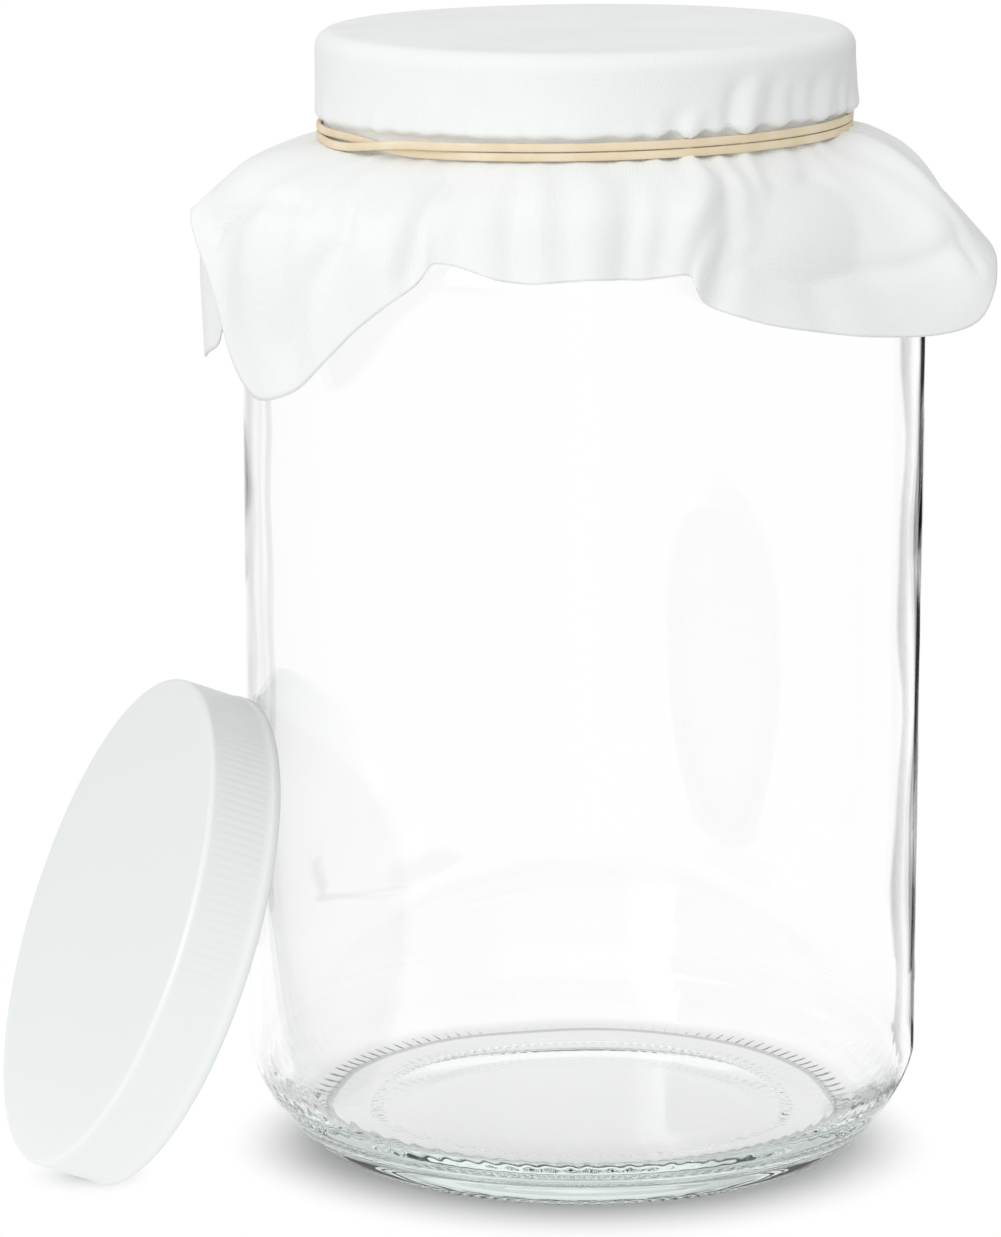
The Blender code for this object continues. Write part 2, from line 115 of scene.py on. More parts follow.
def ringed_mesh(name, rings, close=False):
    """A closed mesh through rings of points. Its ends are capped, or joined to each other."""
    starts = np.cumsum([0] + [len(ring) for ring in rings])
    faces = []
    for row in range(len(rings) - 1):
        faces += ring_faces(len(rings[row]), len(rings[row + 1]), int(starts[row]), int(starts[row + 1]))
    last = len(rings) - 1
    if close:
        faces += ring_faces(len(rings[last]), len(rings[0]), int(starts[last]), 0)
    else:
        faces.append(tuple(reversed(range(len(rings[0])))))
        faces.append(tuple(range(int(starts[last]), int(starts[last]) + len(rings[last]))))
    mesh = bpy.data.meshes.new(name)
    mesh.from_pydata(np.concatenate(rings).tolist(), [], faces)
    mesh.validate()
    return mesh


def outwards(mesh):
    """Turns every face of a closed mesh outwards."""
    shape = bmesh.new()
    shape.from_mesh(mesh)
    bmesh.ops.recalc_face_normals(shape, faces=shape.faces)
    shape.to_mesh(mesh)
    shape.free()


def place(name, mesh, body, node, material, crease=None):
    """Puts a finished mesh into the scene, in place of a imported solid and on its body."""
    outwards(mesh)
    mesh.shade_smooth()
    if crease:
        mesh.set_sharp_from_angle(angle=math.radians(crease))
    mesh.materials.append(material)
    piece = bpy.data.objects.new(name, mesh)
    bpy.context.scene.collection.objects.link(piece)
    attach(piece, body)
    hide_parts(node)
    print(f"{name}: {len(mesh.vertices)} points, {len(mesh.polygons)} faces")


# %% [markdown]
# ## Shader sums as plain expressions
#
# A finish is a sum of masks, noises and colours. Written as nodes it hides its own meaning, so one
# small class wraps a socket. Its operators add the Math nodes, and `node` adds any other kind.

# %% A socket that can be added and multiplied
class Wire:
    """A shader socket. Sums, differences and products of wires and numbers add Math nodes."""

    def __init__(self, tree, socket=None):
        self.tree = tree
        self.socket = socket

    def node(self, kind, settings=None, sockets=None, out=0):
        """Adds a node: its settings first, then its sockets. Gives one output, or a list of several."""
        made = self.tree.nodes.new(kind)
        for name, value in (settings or {}).items():
            setattr(made, name, value)
        for name, value in (sockets or {}).items():
            if isinstance(value, Wire):
                self.tree.links.new(value.socket, made.inputs[name])
            else:
                made.inputs[name].default_value = value
        if isinstance(out, tuple):
            return [Wire(self.tree, made.outputs[one]) for one in out]
        return Wire(self.tree, made.outputs[out])

    def maths(self, operation, *values):
        """One Math node on up to three wires or numbers."""
        return self.node("ShaderNodeMath", {"operation": operation}, dict(enumerate(values)))

    def __add__(self, other):
        return self.maths("ADD", self, other)

    def __sub__(self, other):
        return self.maths("SUBTRACT", self, other)

    def __mul__(self, other):
        return self.maths("MULTIPLY", self, other)

    __radd__ = __add__
    __rmul__ = __mul__

    def __rsub__(self, other):
        return self.maths("SUBTRACT", other, self)

    def ramp(self, start, end):
        """Rises smoothly from 0 to 1 while this value goes from start to end."""
        return self.node(
            "ShaderNodeMapRange", {"interpolation_type": "SMOOTHSTEP"},
            {"Value": self, "From Min": start, "From Max": end})


def new_finish(name):
    """A material with its Principled shader, and a wire to build on."""
    material = bpy.data.materials.new(name)
    material.use_nodes = True
    tree = material.node_tree
    return material, tree.nodes["Principled BSDF"], Wire(tree)


def feed(shader, name, wire):
    """Links a wire to one of the sockets of a shader or an output."""
    wire.tree.links.new(wire.socket, shader.inputs[name])


# %% [markdown]
# ## Camera
#
# The photograph was taken a little from above and from a little left of the jar, with a long lens, so
# the jar's sides stay nearly parallel. Where the camera stood was worked out from the jar's edges, its
# base ring and the ellipse of its covered mouth.

# %% Camera
CAMERA_PLACE = (AXIS_X - 0.01866, AXIS_Y - 1.1638, 0.3648)
CAMERA_PITCH = 11.91
FOCAL_PIXELS = 5265.6
SENSOR = 36.0

camera_data = bpy.data.cameras.new("camera")
camera_data.sensor_fit = "VERTICAL"
camera_data.sensor_height = SENSOR
camera_data.lens = FOCAL_PIXELS / FRAME_SIZE[1] * SENSOR
camera = bpy.data.objects.new("camera", camera_data)
camera.location = CAMERA_PLACE
camera.rotation_euler = (math.radians(90 - CAMERA_PITCH), 0, 0)
bpy.context.scene.collection.objects.link(camera)
bpy.context.scene.camera = camera
bpy.context.scene.view_settings.view_transform = "Standard"
# Light is mirrored many times inside the thick base before it leaves
bpy.context.scene.cycles.max_bounces = 24
bpy.context.scene.cycles.glossy_bounces = 16
bpy.context.scene.cycles.transmission_bounces = 20
print(f"lens {camera_data.lens:.1f} mm")

# %% [markdown]
# ## Room
#
# Clear glass has no colour of its own: it is seen by what it bends and mirrors. In a wholly white room
# it would vanish. A photographer stands dark cards beside it, which the thick edges pull in as thin
# dark lines. Here the world plays both parts. It is white behind the jar and dark far to the right,
# weaker to the left, and only mirrored and bent rays see that. What lights the cotton is softer: a
# dome that is brightest above the front left, and one large lamp on that side.

# %% Levels of the room
FILL = 0.688
FILL_LEAN = (-0.13, -0.29, 0.26)
KEY_ENERGY = 3.0
KEY_SIZE = (1.0, 1.2)
KEY_PLACE = (AXIS_X - 0.9, AXIS_Y - 1.1, 0.75)
KEY_AIM = (AXIS_X, AXIS_Y, 0.12)
RIGHT_CARD = 0.98
LEFT_CARD = 0.22
LEFT_VEIL = 0.04
SIDES_SHADE = 0.35
CEILING_SHADE = 0.15
SOFTBOX_LEVEL = 4.0
FLOOR_RADIUS = 0.215
FLOOR_POINTS = 96
FLOOR_SHIFT = (0.02, 0.03, 0)
FLOOR_DROP = -0.0002
FLOOR_GLOW = 0.06
PAPER_GREY = 0.80
# Painted shade on the paper where bent rays see it: under the jar, under the front of the heel, and a thin
# contact line
PAINTED_SHADE_UNDER_JAR = 0.66
PAINTED_SHADE_UNDER_HEEL = 0.42
PAINTED_CONTACT_SHADE = 0.32
WEDGE_DEPTH = 0.95
CAP_AZIMUTH = -71.9
CAP_FOOT = 0.1172
print(f"dome level {FILL}, key lamp {KEY_ENERGY} W")

# %% World
def band_of(value, start, end, soft):
    """1 between two edges of a value and 0 outside them, with soft borders."""
    return value.ramp(start - soft, start + soft) * (1 - value.ramp(end - soft, end + soft))


def room_shade(side, depth, up):
    """What mirrored and bent rays find in a direction: white all round but for a dark card at each side."""
    behind = depth.ramp(-0.35, 0.05)
    level_with_jar = band_of(up, -0.45, 0.12, 0.05)
    right_card = band_of(side, 0.25, 0.41, 0.02) * RIGHT_CARD * behind * level_with_jar
    left_card = band_of(side * -1, 0.25, 0.44, 0.03) * LEFT_CARD * behind
    left_card = left_card + (side * -1).ramp(0.03, 0.22) * LEFT_VEIL
    sides = side.maths("ABSOLUTE", side).ramp(0.35, 0.60) * up.ramp(-0.15, 0.0) * SIDES_SHADE
    return 1 - right_card - left_card - sides - up.ramp(0.45, 0.90) * CEILING_SHADE


def softbox(side, depth, up):
    """A lamp at the front left that only shows as bright lines on rounded edges."""
    front_left = (depth * -1).ramp(0.30, 0.60) * (side * -1).ramp(0.25, 0.55)
    return front_left * band_of(up, 0.12, 0.60, 0.06) * SOFTBOX_LEVEL


def split(graph, vector):
    """The three parts of a vector wire."""
    return graph.node("ShaderNodeSeparateXYZ", None, {0: vector}, (0, 1, 2))


def ray_kinds(graph):
    """Wires that are 1 for rays from the camera, for mirrored or bent ones, and for mirrored ones only."""
    names = ("Is Camera Ray", "Is Transmission Ray", "Is Glossy Ray")
    straight, bent, mirrored = graph.node("ShaderNodeLightPath", None, None, names)
    return straight, bent.maths("MAXIMUM", bent, mirrored), mirrored


world = bpy.data.worlds.new("studio")
bpy.context.scene.world = world
world.use_nodes = True
graph = Wire(world.node_tree)
side, depth, up = split(graph, graph.node("ShaderNodeTexCoord"))
straight, bent, mirrored = ray_kinds(graph)
fill = side * FILL_LEAN[0] + depth * FILL_LEAN[1] + up * FILL_LEAN[2] + FILL
level = straight + (1 - straight) * (bent * room_shade(side, depth, up) + (1 - bent) * fill)
level = level + mirrored * softbox(side, depth, up)
background = world.node_tree.nodes["Background"]
background.inputs["Color"].default_value = (1, 1, 1, 1)
feed(background, "Strength", level)
print(f"world: {len(world.node_tree.nodes)} nodes")

# %% Floor
mesh = bpy.data.meshes.new("floor")
rim_turns = np.linspace(0, 360, FLOOR_POINTS, endpoint=False)
corners = around(rim_turns, FLOOR_RADIUS, FLOOR_DROP) - FLOOR_SHIFT
mesh.from_pydata(corners.tolist(), [], [tuple(range(len(corners)))])
floor = bpy.data.objects.new("floor", mesh)
bpy.context.scene.collection.objects.link(floor)

material, shader, graph = new_finish("floor_paper")
straight, bent, mirrored = ray_kinds(graph)
shader.inputs["Base Color"].default_value = (PAPER_GREY, PAPER_GREY, PAPER_GREY, 1)
shader.inputs["Roughness"].default_value = 1.0
shader.inputs["Specular IOR Level"].default_value = 0.0
spot = graph.node("ShaderNodeNewGeometry")
from_axis = graph.node("ShaderNodeVectorMath", {"operation": "SUBTRACT"}, {0: spot, 1: (AXIS_X, AXIS_Y, 0)})
across, beyond, level = split(graph, from_axis)
away = graph.node("ShaderNodeVectorMath", {"operation": "LENGTH"}, {0: from_axis}, 1)
# Rays bent by the jar's thick right edge meet the paper in the wedge that leads to the dark card
slant = (across - JAR_RADIUS).maths("DIVIDE", across - JAR_RADIUS, beyond)
wedge = band_of(slant, 0.266, 0.46, 0.02) * WEDGE_DEPTH * beyond.ramp(0.0, 0.01)
# Through the glass the paper shows painted shade under the jar and the heel's front, and a thin contact
# line
under = PAINTED_SHADE_UNDER_JAR + 0.10 * beyond.ramp(-0.05, 0.03)
frontal = (beyond * -1).maths("DIVIDE", beyond * -1, away).ramp(-0.35, 0.45)
painted_heel_shade = PAINTED_SHADE_UNDER_HEEL * frontal * band_of(away, 0.0590, 0.0730, 0.004)
painted_contact_line = PAINTED_CONTACT_SHADE * band_of(away, 0.0572, 0.0592, 0.0004)
painted_paper_shade = under + (1 - under) * away.ramp(0.059, 0.072) - painted_heel_shade - painted_contact_line
# The heel's ends look at the paper beside the jar, where a strip of painted shade lies, stronger at the
# right
painted_side_shade = across.maths("ABSOLUTE", across).ramp(0.081, 0.085) * band_of(beyond, -0.050, 0.018, 0.008)
painted_side_shade = painted_side_shade * (1 - away.ramp(0.118, 0.130)) * (0.25 + 0.45 * across.ramp(-0.01, 0.01))
bent_level = painted_paper_shade * (1 - wedge) * (1 - painted_side_shade)
dark = graph.node("ShaderNodeEmission", None, {"Strength": 0.0})
white = graph.node("ShaderNodeEmission", None, {"Strength": 1.0})
glow = graph.node("ShaderNodeMixShader", None, {0: straight * FLOOR_GLOW, 1: dark, 2: white})
lit = graph.node("ShaderNodeAddShader", None, {0: Wire(graph.tree, shader.outputs[0]), 1: glow})
# The jar's shadow ends near the edge of its body, and the cap's near the point it stands on
cap_foot = tuple(around(CAP_AZIMUTH, CAP_FOOT, 0.0))
from_cap = graph.node("ShaderNodeVectorMath", {"operation": "DISTANCE"}, {0: spot, 1: cap_foot}, 1)
clear = (away + (1 - frontal) * 0.007).ramp(0.059, 0.085) * from_cap.ramp(-0.004, 0.016)
near = graph.node("ShaderNodeMixShader", None, {0: clear, 1: lit, 2: white})
seen_bent = graph.node("ShaderNodeMixShader", None, {0: bent_level, 1: dark, 2: white})
paper = graph.node("ShaderNodeMixShader", None, {0: bent, 1: near, 2: seen_bent})
feed(graph.tree.nodes["Material Output"], "Surface", paper)
mesh.materials.append(material)
print(f"floor: {len(corners)} points, {len(graph.tree.nodes)} nodes")

# %% Key light
key_data = bpy.data.lights.new("key", "AREA")
key_data.shape = "RECTANGLE"
key_data.size, key_data.size_y = KEY_SIZE
key_data.energy = KEY_ENERGY
key = bpy.data.objects.new("key", key_data)
key.location = KEY_PLACE
aim = Vector(KEY_AIM) - key.location
key.rotation_euler = aim.to_track_quat("-Z", "Y").to_euler()
key.visible_glossy = False
key.visible_transmission = False
bpy.context.scene.collection.objects.link(key)
print(f"key lamp: {aim.length:.2f} m from the jar")

# %% [markdown]
# ## Glass jar
#
# The real jar is pressed and blown in a mould: thick in the base, thinner in the wall, with a moulded
# finish whose thread takes the cap. Its base has a ring of knurls round the edge it stands on, and a
# ring of short bars under the push-up, both there to grip the conveyor while the glass is hot. It is a
# turned shape, so its section is written once, as rows of radius and height, and turned. Rows that
# carry knurls get three times as many points as the rest.

# %% Sizes of the glass
WALL = 0.0028
HEEL_HEIGHT = 0.0225
HEEL_SQUARENESS = 1.54
FINISH_HEIGHT = 0.0265
SHOULDER_HEIGHT = 0.0225
BEARING_OUTER = 0.058
BEARING_INNER = 0.0535
PUSH_UP = 0.0012
PUSH_UP_SLOPE = 0.024
FLOOR_TOP = 0.0084
FLOOR_DISH = 0.0004
THREAD_RADIUS = 0.0544
THREAD_DEPTH = 0.0015
THREAD_PITCH = 0.00508
THREAD_TURNS = 1.7
THREAD_START = 0.0034
THREAD_END_AZIMUTH = -48.0
MOUTH_RADIUS = 0.0497
LIP_ROUND = 0.0009
BEAD_PROUD = 0.0019
BEAD_DROP = 0.0162
BEAD_HEIGHT = 0.0032
NECK_PROUD = 0.0005
NECK_FILLET = 0.0026
KNURLS = 128
KNURL_DEPTH = 0.0006
BAR_RING = 0.0468
BAR_DEPTH = 0.00022
UNEVEN = 0.00003
RIPPLE = 0.000022
COARSE = 256
FINE = 3 * COARSE
FIRST_RING = 0.004
BARS_FROM = 0.0450
BARS_TO = 0.0486
KNURLS_FADE = 0.0618
KNURLS_END = 0.0634
FINE_FROM = 0.0445
FINE_BELOW = 0.0032
HEEL_CROWDING = 1.9
FLANK = 0.31
CREST = 0.30
THREAD_FADE = 0.05
GLASS_IOR = 1.5
GLASS_TINT = (0.78, 0.93, 0.89, 1)
TINT_DENSITY = 4.5
THIN_SHADOW = (0.97, 0.975, 0.973, 1)
THICK_SHADOW = (0.30, 0.34, 0.33, 1)

THREAD_ROOT = THREAD_RADIUS - THREAD_DEPTH
BEAD_RADIUS = THREAD_ROOT + BEAD_PROUD
SHOULDER_START = THREAD_ROOT + NECK_PROUD + NECK_FILLET
SHOULDER_TOP = JAR_HEIGHT - FINISH_HEIGHT
SHOULDER_BASE = SHOULDER_TOP - SHOULDER_HEIGHT
print(f"shoulder from {SHOULDER_BASE:.4f} to {SHOULDER_TOP:.4f}, thread radius {THREAD_RADIUS}")


# %% Section of the glass
def heel_radius(height):
    """Outer radius between the bearing ring and the straight wall."""
    share = 1 - min(height / HEEL_HEIGHT, 1)
    reach = (1 - share ** HEEL_SQUARENESS) ** (1 / HEEL_SQUARENESS)
    return BEARING_OUTER + (JAR_RADIUS - BEARING_OUTER) * reach


def base_height(radius):
    """Height of the underside: a shallow dome inside the ring that the jar stands on."""
    return PUSH_UP * float(1 - smooth(BEARING_INNER - PUSH_UP_SLOPE, BEARING_INNER, radius))


def base_rows():
    """Underside from the middle out to the bearing ring."""
    radii = list(np.linspace(FIRST_RING, BARS_FROM - 0.001, 12)) + list(np.linspace(BARS_FROM, BARS_TO, 13))
    radii += list(np.linspace(BARS_TO + 0.001, BEARING_INNER, 5))
    radii += list(np.linspace(BEARING_INNER, BEARING_OUTER, 5)[1:])
    return [(radius, base_height(radius)) for radius in radii]


def wall_rows():
    """Outside from the bearing ring up to the neck."""
    rows = [(heel_radius(h), h) for h in HEEL_HEIGHT * np.linspace(0, 1, 30)[1:] ** HEEL_CROWDING]
    rows += [(JAR_RADIUS, height) for height in np.linspace(HEEL_HEIGHT, SHOULDER_BASE, 26)[1:-1]]
    rows += arc((SHOULDER_START, SHOULDER_BASE), (JAR_RADIUS - SHOULDER_START, SHOULDER_HEIGHT), 0, 90, 18)
    rows += arc((SHOULDER_START, SHOULDER_TOP + NECK_FILLET), (NECK_FILLET, NECK_FILLET), 270, 180, 5)[1:]
    return rows


def finish_rows():
    """Transfer bead, the wall under the thread, and the rounded lip."""
    bead = JAR_HEIGHT - BEAD_DROP
    rows = []
    for height in np.linspace(bead - BEAD_HEIGHT / 2, bead + BEAD_HEIGHT / 2, 11):
        off = abs(height - bead)
        bulge = math.cos(off / BEAD_HEIGHT * math.pi) ** 0.5 if off < BEAD_HEIGHT / 2 else 0
        rows.append((THREAD_ROOT + NECK_PROUD * (height < bead) * (1 - bulge) + BEAD_PROUD * bulge, height))
    top = JAR_HEIGHT - LIP_ROUND
    rows += [(THREAD_ROOT, height) for height in np.linspace(rows[-1][1], top, 46)[1:-1]]
    rows += arc((THREAD_ROOT - LIP_ROUND, top), (LIP_ROUND, LIP_ROUND), 0, 90, 5)
    rows += arc((MOUTH_RADIUS + LIP_ROUND, top), (LIP_ROUND, LIP_ROUND), 90, 180, 5)
    return rows


def inner_rows():
    """Inside from the mouth down to the middle of the floor."""
    neck = np.linspace(JAR_HEIGHT - LIP_ROUND, SHOULDER_TOP + NECK_FILLET, 8)
    rows = [(MOUTH_RADIUS, height) for height in neck[1:]]
    start = MOUTH_RADIUS + NECK_FILLET
    rows += arc((start, SHOULDER_TOP + NECK_FILLET), (NECK_FILLET, NECK_FILLET + WALL), 180, 270, 5)[1:-1]
    rows += arc((start, SHOULDER_BASE), (JAR_RADIUS - WALL - start, SHOULDER_HEIGHT - WALL), 90, 0, 18)
    rows += [(JAR_RADIUS - WALL, height) for height in np.linspace(SHOULDER_BASE, HEEL_HEIGHT, 26)[1:-1]]
    reach = JAR_RADIUS - WALL - BEARING_OUTER
    rows += arc((BEARING_OUTER, HEEL_HEIGHT), (reach, HEEL_HEIGHT - FLOOR_TOP), 0, -90, 24)
    rows += [(radius, FLOOR_TOP + FLOOR_DISH * float(smooth(BEARING_OUTER, 0.030, radius)))
             for radius in np.linspace(BEARING_OUTER, FIRST_RING, 14)[1:]]
    return rows


# %% Turn the glass
def thread_share(turned, height, top, turns):
    """Share of a thread's depth at a share of a turn from its top end. The cap has the same thread."""
    proud = np.zeros_like(turned)
    for lap in range(2):
        back = turned + lap
        away = np.abs(height - top + THREAD_PITCH * back) / (THREAD_PITCH * FLANK)
        run = smooth(0, THREAD_FADE, back) * (1 - smooth(turns - THREAD_FADE, turns, back))
        proud = np.maximum(proud, run * (1 - smooth(CREST, 1.0, away)))
    return proud


def glass_ring(radius, height, outside):
    """One ring of the glass, with its knurls, bars and thread."""
    rippled = not outside and height < HEEL_HEIGHT and radius > 0.050
    fine = rippled or (outside and height < FINE_BELOW and radius > FINE_FROM)
    count = FINE if fine else COARSE
    azimuth = 360 * np.arange(count) / count
    wave = 0.5 - 0.5 * np.cos(np.radians(azimuth) * KNURLS)
    turn = np.radians(azimuth)
    # Blown glass is a little uneven: slow waves round it that lean as they climb
    phase = 0.0 if outside else 2.0
    uneven = np.sin(3 * turn + 60 * height + phase) + np.sin(5 * turn - 95 * height + 2 * phase)
    uneven += 0.6 * np.sin(11 * turn + 210 * height + phase)
    radius = radius + UNEVEN * uneven * float(smooth(0.03, 0.05, height) * (1 - smooth(0.20, 0.22, height)))
    lift = np.zeros(count)
    grown = np.zeros(count)
    if rippled:
        ripple = np.sin(92 * turn + 900 * height + 2.5 * np.sin(3 * turn))
        ripple = ripple + 0.6 * np.sin(141 * turn - 700 * height)
        grown = RIPPLE * ripple * smooth(0.0560, 0.0640, radius) * (1 - smooth(0.017, HEEL_HEIGHT, height))
    elif fine:
        in_bars = 1 - smooth(0.0009, 0.0014, abs(radius - BAR_RING))
        lift = lift - BAR_DEPTH * in_bars * wave
        in_knurls = smooth(BEARING_OUTER - 0.0002, BEARING_OUTER + 0.0008, radius)
        in_knurls = in_knurls * (1 - smooth(KNURLS_FADE, KNURLS_END, radius))
        lift = lift + KNURL_DEPTH * in_knurls * wave
    if outside and height > JAR_HEIGHT - BEAD_DROP + BEAD_HEIGHT / 2:
        turned = (THREAD_END_AZIMUTH - azimuth) % 360 / 360
        proud = THREAD_DEPTH * thread_share(turned, height, JAR_HEIGHT - THREAD_START, THREAD_TURNS)
        grown = proud * (height < JAR_HEIGHT - LIP_ROUND / 2)
    return around(azimuth, radius + grown, height + lift)


def clear_glass():
    """Clear glass with a green tint in its depth. To the lamps it is see-through, more so in the wall."""
    material, shader, graph = new_finish("clear_glass")
    shader.inputs["Base Color"].default_value = (1, 1, 1, 1)
    shader.inputs["Roughness"].default_value = 0.0
    shader.inputs["IOR"].default_value = GLASS_IOR
    shader.inputs["Transmission Weight"].default_value = 1.0
    facing = graph.node("ShaderNodeLayerWeight", None, {"Blend": 0.5}, 1)
    height = split(graph, graph.node("ShaderNodeNewGeometry"))[2]
    # The thick heel bends light away, so it throws a darker shadow than the wall
    heavy = facing.maths("MAXIMUM", facing.ramp(0.3, 1.0) * 0.35, (1 - height.ramp(0.002, 0.020)) * 0.95)
    thin = graph.node("ShaderNodeBsdfTransparent", None, {"Color": THIN_SHADOW})
    thick = graph.node("ShaderNodeBsdfTransparent", None, {"Color": THICK_SHADOW})
    passed = graph.node("ShaderNodeMixShader", None, {0: heavy, 1: thin, 2: thick})
    shadow = graph.node("ShaderNodeLightPath", None, None, "Is Shadow Ray")
    seen = Wire(graph.tree, shader.outputs[0])
    mixed = graph.node("ShaderNodeMixShader", None, {0: shadow, 1: seen, 2: passed})
    inside = graph.node("ShaderNodeVolumeAbsorption", None, {"Color": GLASS_TINT, "Density": TINT_DENSITY})
    output = graph.tree.nodes["Material Output"]
    feed(output, "Surface", mixed)
    feed(output, "Volume", inside)
    return material


outside_rows = base_rows() + wall_rows() + finish_rows()
rings = [glass_ring(radius, height, True) for radius, height in outside_rows]
rings += [glass_ring(radius, height, False) for radius, height in inner_rows()]
turned_glass = ringed_mesh("brewing_jar", rings)
place("brewing_jar", turned_glass, "jar", "glass_jar", clear_glass())

# %% [markdown]
# ## Cotton cover
#
# The real cover is a square of plain cotton laid over the mouth and gathered by the band. It could be
# dropped on the jar by a cloth simulation, but then its folds fall anywhere. Here each thread that
# runs from the middle of the square to its hem is followed instead: over the lip, down to the band, and
# out over the shoulder. Where the threads crowd, the cloth folds, and the folds are listed by where
# they start at the band and where they end at the hem.

# %% Sizes of the cotton
CLOTH_SIDE = 0.222
CLOTH_THICKNESS = 0.00045
CLOTH_TOP_ROUND = 0.0038
CLOTH_TOP_RADIUS = THREAD_RADIUS + 0.0051
CLOTH_WAIST_RADIUS = BEAD_RADIUS + 0.0004
CLOTH_PACK = 0.0024
DRAWN_IN_FROM = 0.88
GLASS_CLEARANCE = 0.0012
SEAT_GAP = 0.0003
BAND_HEIGHT = JAR_HEIGHT - 0.0203
BAND_TILT_SIDE = 0.0013
BAND_TILT_FRONT = -0.0004
STRAND_HEIGHT = 0.0018
STRAND_PITCH = 0.0020
BAND_HALF = (STRAND_PITCH + STRAND_HEIGHT) / 2 + SEAT_GAP
CLOTH_COLUMNS = 480
SIDE_ROWS = 30
SKIRT_ROWS = 60
TOP_LEAN = 0.0006

# %% Threads of the skirt
# A thread of the cloth, at a turn in degrees from the front left corner. It leaves the band at one
# azimuth and ends at the hem at another, at a radius and a height in millimetres. Its first handle has
# a slope below level and a length, and so has its last, as on any curve with two handles.
Thread = namedtuple("Thread", "turn band hem radius height start out end up", defaults=(16, 24, 80, 14))
THREADS = (
    Thread(0, -53, -55.1, 87.0, 177.0, 5, 44, 96, 30),
    Thread(4, -49, -49.0, 85.9, 179.2, 10, 42, 94, 30),
    Thread(8, -45.5, -44.1, 86.1, 184.0, 13, 38, 92, 27),
    Thread(15, -39.5, -36.5, 85.0, 194.8, 17, 33, 88, 20),
    Thread(21, -34, -28.5, 84.0, 203.0, 20, 28, 84, 15),
    Thread(24.5, -30.5, -25.2, 83.0, 207.6, 20, 26, 80, 14),
    Thread(27.5, -28, -24.6, 80.8, 210.2, 20, 22, 78, 12),
    Thread(31, -25.5, -23.4, 79.6, 210.4, 20, 20, 78, 12),
    Thread(36, -20, -18.5, 79.6, 209.2),
    Thread(41, -12, -12, 80.0, 206.3),
    Thread(47, 0, 0, 80.0, 207.9),
    Thread(53, 12, 8, 80.4, 207.6),
    Thread(58, 22, 13.0, 79.8, 208.5),
    Thread(61.5, 27, 15.4, 79.8, 208.6, 22, 20, 78, 12),
    Thread(65, 30, 15.8, 81.5, 205.6, 26, 22, 76, 10),
    Thread(69, 33, 17.6, 81.4, 201.9, 32, 22, 70, 10),
    Thread(75, 40, 27.5, 81.0, 197.2, 36, 22, 66, 11),
    Thread(81, 50, 43.0, 83.8, 193.1, 36, 24, 66, 12),
    Thread(86, 58, 55.1, 90.0, 191.5, 30, 26, 72, 13),
    Thread(90, 64, 61.8, 95.6, 193.2, 16, 26, 84, 15),
    Thread(93, 68, 64.5, 96.4, 200.5, -14, 17, 70, 14),
    Thread(97, 72, 68.8, 95.0, 205.3, -24, 10, 56, 14),
    Thread(104, 77, 78, 90.0, 208.0, -24, 10, 46, 11),
    Thread(112, 83, 86, 85.0, 209.0, -20, 10, 52, 9),
    Thread(125, 92, 94, 80.5, 208.5, 5, 16, 74, 10),
    Thread(138, 104, 105, 80.0, 207.5),
    Thread(152, 115, 116, 81.5, 203.0),
    Thread(165, 127, 128, 84.0, 197.0, 14, 34, 88, 20),
    Thread(180, 140, 140, 86.0, 184.0, 6, 46, 96, 26),
    Thread(195, 155, 154, 84.0, 196.0, 14, 34, 88, 20),
    Thread(208, 170, 169, 81.5, 202.0),
    Thread(225, 190, 190, 80.0, 207.5),
    Thread(241, 208, 208, 81.0, 203.0),
    Thread(255, 226, 240, 92.0, 200.0, 8, 22, 66, 16),
    Thread(266, 243, 254, 87.5, 186.0, 12, 38, 88, 26),
    Thread(270, 248, 262, 87.0, 179.5, 12, 42, 92, 28),
    Thread(275, 255, 270, 85.5, 178.8, 12, 40, 90, 26),
    Thread(284, 263, 281, 82.3, 184.0, 14, 34, 88, 22),
    Thread(297, 270, 286, 80.6, 198.0, 18, 26, 82, 14),
    Thread(312, 275, 286.8, 80.8, 207.5, 8, 20, 74, 10),
    Thread(324, 279, 286.0, 83.3, 212.5, 0, 13, 50, 10),
    Thread(334, 282, 287.3, 87.6, 217.4, 0, 14, 40, 12),
    Thread(341, 285, 291.0, 92.0, 216.0, 0, 18, 40, 14),
    Thread(345, 289, 294.0, 92.6, 210.6, -1, 24, 66, 15),
    Thread(349, 294, 297.0, 91.8, 203.0, -1, 30, 80, 18),
    Thread(353, 299, 299.2, 91.0, 194.0, 1, 34, 84, 22),
    Thread(356.5, 303, 301.2, 89.8, 185.0, 4, 38, 90, 26),
)

# Folds of the skirt: azimuth at the band and at the hem, half width there and there, and depth in
# millimetres, inwards below zero
Fold = namedtuple("Fold", "start end narrow wide depth")
SKIRT_FOLDS = (
    Fold(27.5, 18.5, 1.9, 2.2, -2.2),
    Fold(36.0, 38.0, 1.6, 4.0, -1.2),
    Fold(22.0, 13.0, 2.0, 2.2, 0.8),
    Fold(14.0, 10.0, 1.8, 2.6, -1.0),
    Fold(7.5, 5.2, 1.6, 2.2, -1.8),
    Fold(1.5, -0.5, 2.0, 3.0, 0.9),
    Fold(-4.5, -4.0, 1.6, 2.4, -0.8),
    Fold(-9.0, -7.0, 1.8, 2.4, 1.0),
    Fold(-13.4, -11.5, 1.7, 2.2, -2.2),
    Fold(-19.5, -21.0, 1.5, 2.2, -1.1),
    Fold(-25.6, -26.5, 1.5, 2.0, -1.7),
    Fold(-33.0, -30.0, 2.0, 3.0, 0.8),
    Fold(-41.0, -38.5, 2.0, 4.0, -1.2),
    Fold(-52.0, -46.0, 1.5, 3.5, -1.3),
    Fold(-58.0, -61.0, 3.0, 4.0, -0.8),
    Fold(47.0, 50.0, 2.5, 5.0, -1.0),
    Fold(62.0, 64.0, 2.5, 3.0, 1.0),
)
